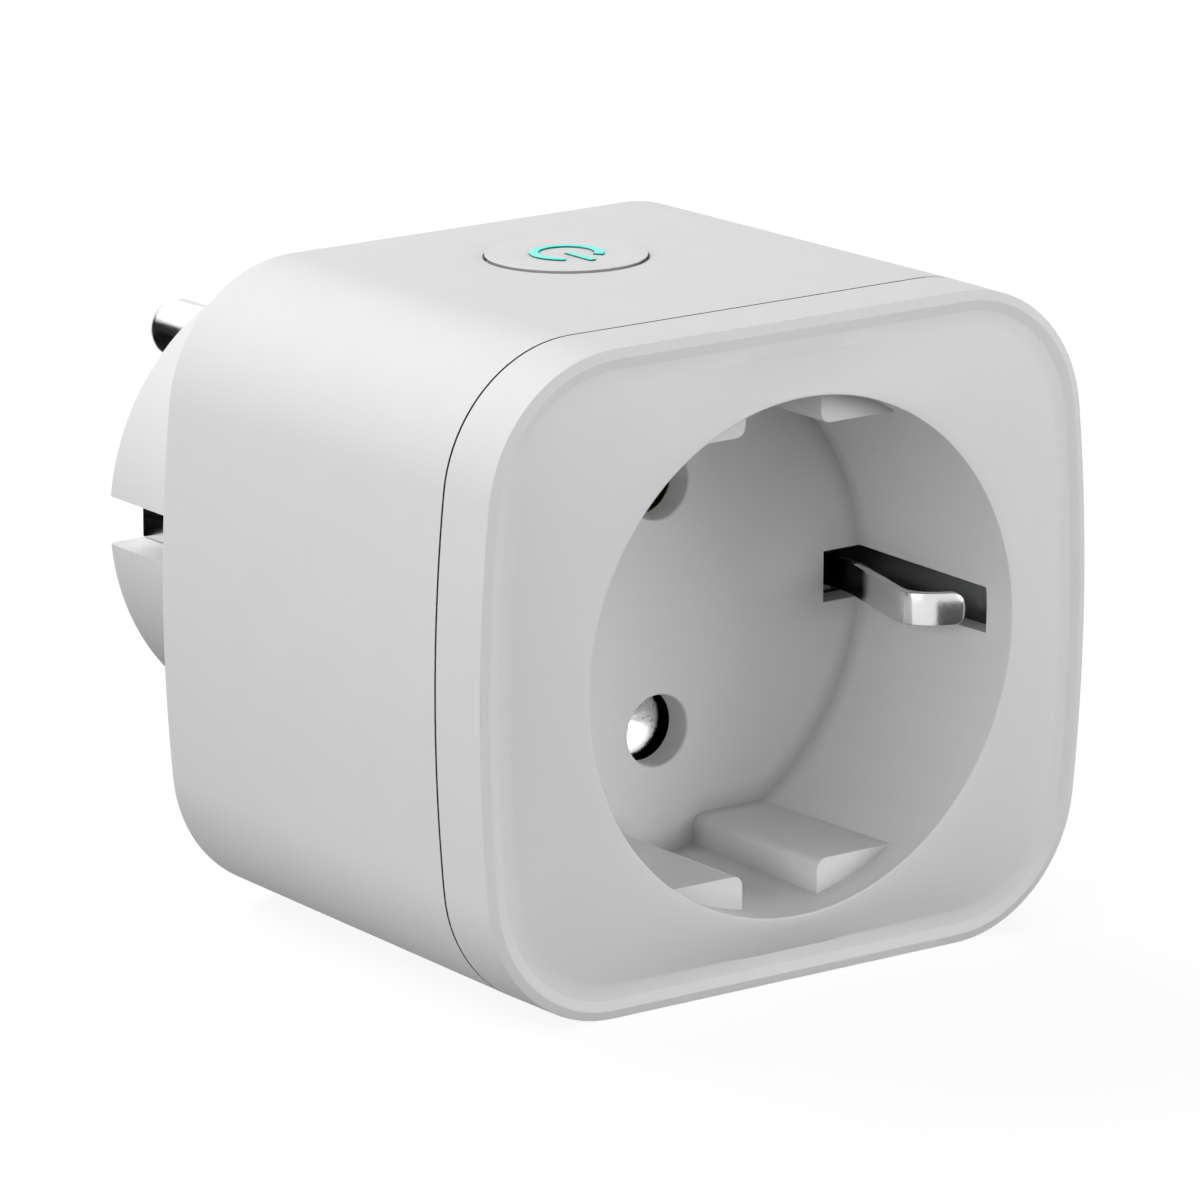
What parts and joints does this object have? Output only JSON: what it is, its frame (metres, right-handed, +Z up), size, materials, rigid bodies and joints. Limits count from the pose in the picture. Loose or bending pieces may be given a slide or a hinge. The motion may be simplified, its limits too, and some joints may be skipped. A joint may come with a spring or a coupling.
{
  "type": "smart plug",
  "caption": "Switched mains adapter: rounded white case with a recessed round-pin socket in front, a lit push button on top and a round plug with pins behind.",
  "frame": {"origin": "middle of the plug's rear face, between the two pins", "axes": "+Y out of the plug's rear face into the wall outlet, so the socket faces -Y; +Z up, with the button on top; +X to the right for someone who faces the socket"},
  "size_m": [0.0558, 0.0833, 0.05],
  "materials": {
    "case_white": "fine satin moulded white plastic",
    "button_white": "satin moulded white plastic",
    "lens_turquoise": "lit turquoise light guide",
    "nickel_brass": "bright nickel plating on brass",
    "spring_steel": "bright rolled strip",
    "circuit_board": "green solder mask",
    "shield_metal": "dull pressed sheet",
    "component_dark": "black moulded plastic",
    "component_yellow": "yellow tape and varnish",
    "component_blue": "dipped blue epoxy",
    "led_white": "clear lens over phosphor",
    "screw_steel": "zinc plated"
  },
  "bodies": {
    "case": {"rear_shell": "case_white", "front_cover": "case_white", "plug_base": "case_white", "upper_pin": "nickel_brass", "lower_pin": "nickel_brass", "plug_earth_contact_left": "spring_steel", "plug_earth_contact_right": "spring_steel", "earth_bridge": "spring_steel", "upper_contact_sleeve": "nickel_brass", "lower_contact_sleeve": "nickel_brass", "main_board": "circuit_board", "button_board": "circuit_board", "wifi_module": "circuit_board", "shield_can": "shield_metal", "relay": "component_dark", "transformer": "component_yellow", "filter_capacitor": "component_dark", "varistor": "component_blue", "fuse": "component_yellow", "tact_switch": "component_dark", "status_led": "led_white", "case_screw_1": "screw_steel", "case_screw_2": "screw_steel", "case_screw_3": "screw_steel", "case_screw_4": "screw_steel"},
    "button": {"power_button": "button_white", "power_symbol_lens": "lens_turquoise"},
    "plunger": {"switch_plunger": "component_dark"},
    "clip_left": {"earth_clip_left": "spring_steel"},
    "clip_right": {"earth_clip_right": "spring_steel"}
  },
  "joints": [
    {"name": "button_press", "type": "slide", "parent": "case", "child": "button", "axis": [0, 0, -1], "range_m": [0, 0.0006], "stiffness_N_per_m": 2500},
    {"name": "plunger_press", "type": "slide", "parent": "case", "child": "plunger", "axis": [0, 0, -1], "range_m": [0, 0.0006]},
    {"name": "clip_left_flex", "type": "hinge", "parent": "case", "child": "clip_left", "pos_m": [-0.0175, -0.04735, 0], "axis": [0, 0, -1], "range_deg": [0, 8], "stiffness_Nm_per_rad": 0.35},
    {"name": "clip_right_flex", "type": "hinge", "parent": "case", "child": "clip_right", "pos_m": [0.0175, -0.04735, 0], "axis": [0, 0, 1], "range_deg": [0, 8], "stiffness_Nm_per_rad": 0.35}
  ],
  "couplings": [
    {"joint": "plunger_press", "follows": "button_press", "ratio": 1}
  ]
}
